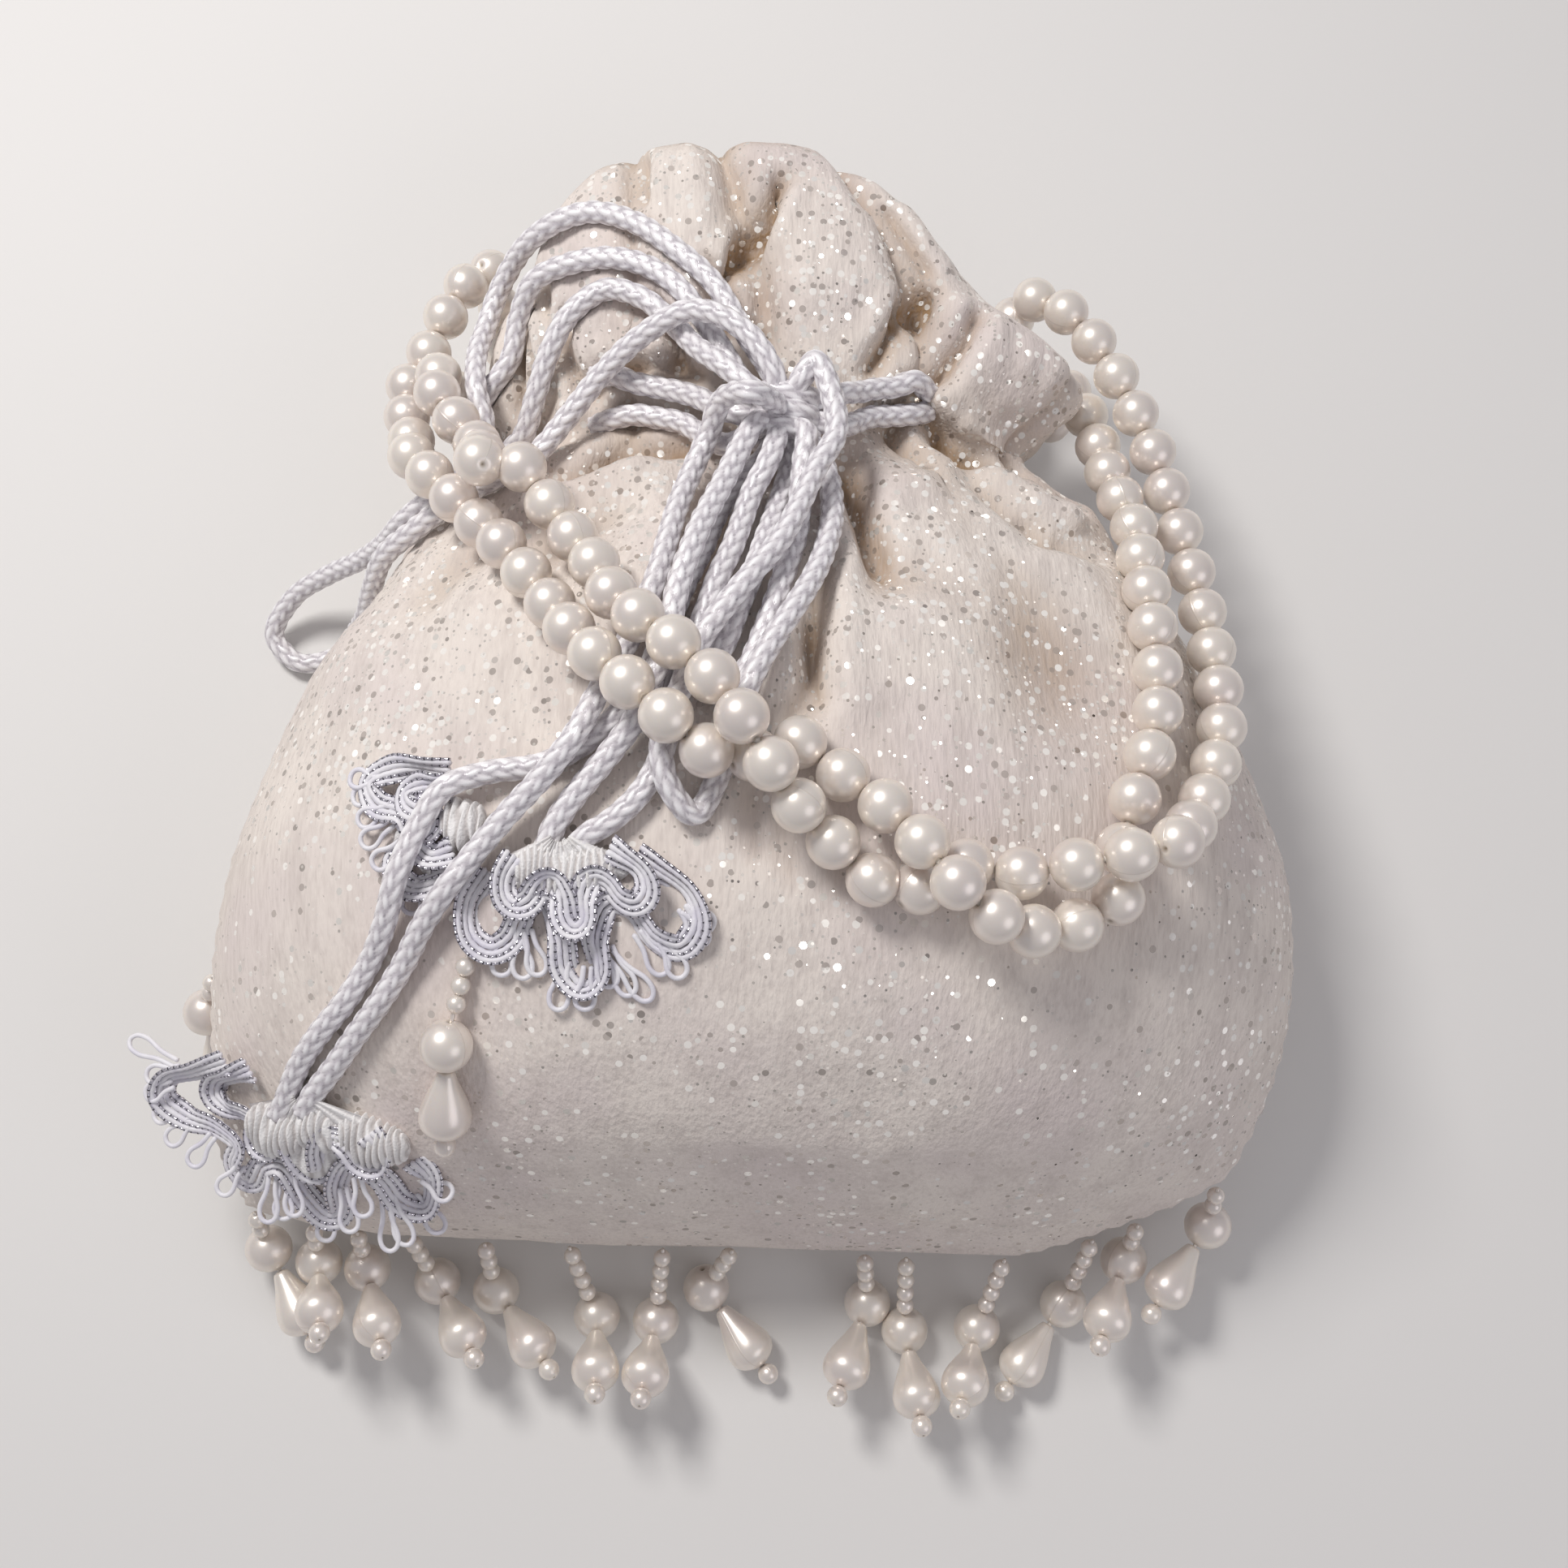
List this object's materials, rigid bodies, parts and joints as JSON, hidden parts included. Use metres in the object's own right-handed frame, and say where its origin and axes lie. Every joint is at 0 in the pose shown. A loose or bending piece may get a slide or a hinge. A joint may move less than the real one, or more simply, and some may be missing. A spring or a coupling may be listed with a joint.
{
  "type": "drawstring pouch",
  "caption": "Small padded velvet drawstring pouch with ruffled mouth, twisted pearl handle, braided cord bow, trim rosettes and a pearl drop fringe, lying on its back.",
  "frame": {"origin": "middle of the flat patch at the back on which the pouch lies", "axes": "+X to the pouch's right as seen from the front, +Y from the bottom seam to the gathered mouth, +Z out of the front panel, up from the table"},
  "size_m": [0.1859, 0.213, 0.0904],
  "materials": {
    "velvet": "ivory velvet with glitter",
    "satin_cord": "braided satin cord, silver white",
    "pearl": "pearl coated bead, soft gloss",
    "gathered_cloth": "gathered white cloth",
    "silver_braid": "gimp braid with metallic thread"
  },
  "bodies": {
    "bag": {"pouch": "velvet", "drawcord_knot": "satin_cord", "neck_cord_left_upper": "satin_cord", "neck_cord_left_lower": "satin_cord", "neck_cord_right_upper": "satin_cord", "neck_cord_right_lower": "satin_cord", "bow_loop_long": "satin_cord", "bow_loop_short": "satin_cord", "front_loop_long": "satin_cord", "front_loop_short": "satin_cord", "tail_near_left": "satin_cord", "tail_near_right": "satin_cord", "tail_far_left": "satin_cord", "tail_far_right": "satin_cord", "handle_strand_a": "pearl", "handle_strand_b": "pearl", "rosette_near_trim": "silver_braid", "rosette_far_trim": "silver_braid", "rosette_far_side_trim": "silver_braid", "rosette_near_cup_right": "gathered_cloth", "rosette_near_cup_middle": "gathered_cloth", "rosette_near_cup_left": "gathered_cloth", "rosette_far_cup": "gathered_cloth", "rosette_far_side_cup": "gathered_cloth"},
    "drop_side": {"fringe_drop_side": "pearl"},
    "drop_a": {"fringe_drop_a": "pearl"},
    "drop_b": {"fringe_drop_b": "pearl"},
    "drop_c": {"fringe_drop_c": "pearl"},
    "drop_d": {"fringe_drop_d": "pearl"},
    "drop_e": {"fringe_drop_e": "pearl"},
    "drop_f": {"fringe_drop_f": "pearl"},
    "drop_g": {"fringe_drop_g": "pearl"},
    "drop_h": {"fringe_drop_h": "pearl"},
    "drop_i": {"fringe_drop_i": "pearl"},
    "drop_j": {"fringe_drop_j": "pearl"},
    "drop_k": {"fringe_drop_k": "pearl"},
    "drop_l": {"fringe_drop_l": "pearl"},
    "drop_m": {"fringe_drop_m": "pearl"},
    "drop_n": {"fringe_drop_n": "pearl"},
    "drop_rosette": {"rosette_drop": "pearl"}
  },
  "joints": [
    {"name": "drop_side_swing", "type": "hinge", "parent": "bag", "child": "drop_side", "pos_m": [-0.09027, -0.02229, 0.02872], "axis": [0.0523, 0.9986, 0], "range_deg": [0, 70]},
    {"name": "drop_a_swing", "type": "hinge", "parent": "bag", "child": "drop_a", "pos_m": [-0.08468, -0.06076, 0.01609], "axis": [-0.8572, 0.515, 0], "range_deg": [0, 70]},
    {"name": "drop_b_swing", "type": "hinge", "parent": "bag", "child": "drop_b", "pos_m": [-0.07475, -0.06305, 0.01554], "axis": [-0.9397, -0.342, 0], "range_deg": [0, 70]},
    {"name": "drop_c_swing", "type": "hinge", "parent": "bag", "child": "drop_c", "pos_m": [-0.06733, -0.06405, 0.01535], "axis": [-0.8829, -0.4695, 0], "range_deg": [0, 70]},
    {"name": "drop_d_swing", "type": "hinge", "parent": "bag", "child": "drop_d", "pos_m": [-0.05838, -0.06506, 0.01512], "axis": [-0.9962, 0.0872, 0], "range_deg": [0, 70]},
    {"name": "drop_e_swing", "type": "hinge", "parent": "bag", "child": "drop_e", "pos_m": [-0.0459, -0.06594, 0.01496], "axis": [-0.7431, -0.6691, 0], "range_deg": [0, 70]},
    {"name": "drop_f_swing", "type": "hinge", "parent": "bag", "child": "drop_f", "pos_m": [-0.03166, -0.06645, 0.01494], "axis": [-0.9998, 0.0175, 0], "range_deg": [0, 70]},
    {"name": "drop_g_swing", "type": "hinge", "parent": "bag", "child": "drop_g", "pos_m": [-0.01591, -0.0668, 0.01498], "axis": [-0.9998, 0.0175, 0], "range_deg": [0, 70]},
    {"name": "drop_h_swing", "type": "hinge", "parent": "bag", "child": "drop_h", "pos_m": [-0.00417, -0.06707, 0.015], "axis": [-0.9994, 0.0349, 0], "range_deg": [0, 70]},
    {"name": "drop_i_swing", "type": "hinge", "parent": "bag", "child": "drop_i", "pos_m": [0.01803, -0.06797, 0.01491], "axis": [-0.9986, 0.0523, 0], "range_deg": [0, 70]},
    {"name": "drop_j_swing", "type": "hinge", "parent": "bag", "child": "drop_j", "pos_m": [0.02502, -0.06826, 0.01488], "axis": [-0.9994, 0.0349, 0], "range_deg": [0, 70]},
    {"name": "drop_k_swing", "type": "hinge", "parent": "bag", "child": "drop_k", "pos_m": [0.04157, -0.0685, 0.01493], "axis": [-0.9994, -0.0349, 0], "range_deg": [0, 70]},
    {"name": "drop_l_swing", "type": "hinge", "parent": "bag", "child": "drop_l", "pos_m": [0.05626, -0.06534, 0.01584], "axis": [-0.9205, 0.3907, 0], "range_deg": [0, 70]},
    {"name": "drop_m_swing", "type": "hinge", "parent": "bag", "child": "drop_m", "pos_m": [0.06383, -0.06285, 0.01679], "axis": [-0.9063, 0.4226, 0], "range_deg": [0, 70]},
    {"name": "drop_n_swing", "type": "hinge", "parent": "bag", "child": "drop_n", "pos_m": [0.07683, -0.05685, 0.0197], "axis": [-0.8192, -0.5736, 0], "range_deg": [0, 70]},
    {"name": "rosette_drop_swing", "type": "hinge", "parent": "bag", "child": "drop_rosette", "pos_m": [-0.042, -0.0228, 0.0642], "axis": [-0.9659, 0.2588, 0], "range_deg": [0, 70]}
  ]
}
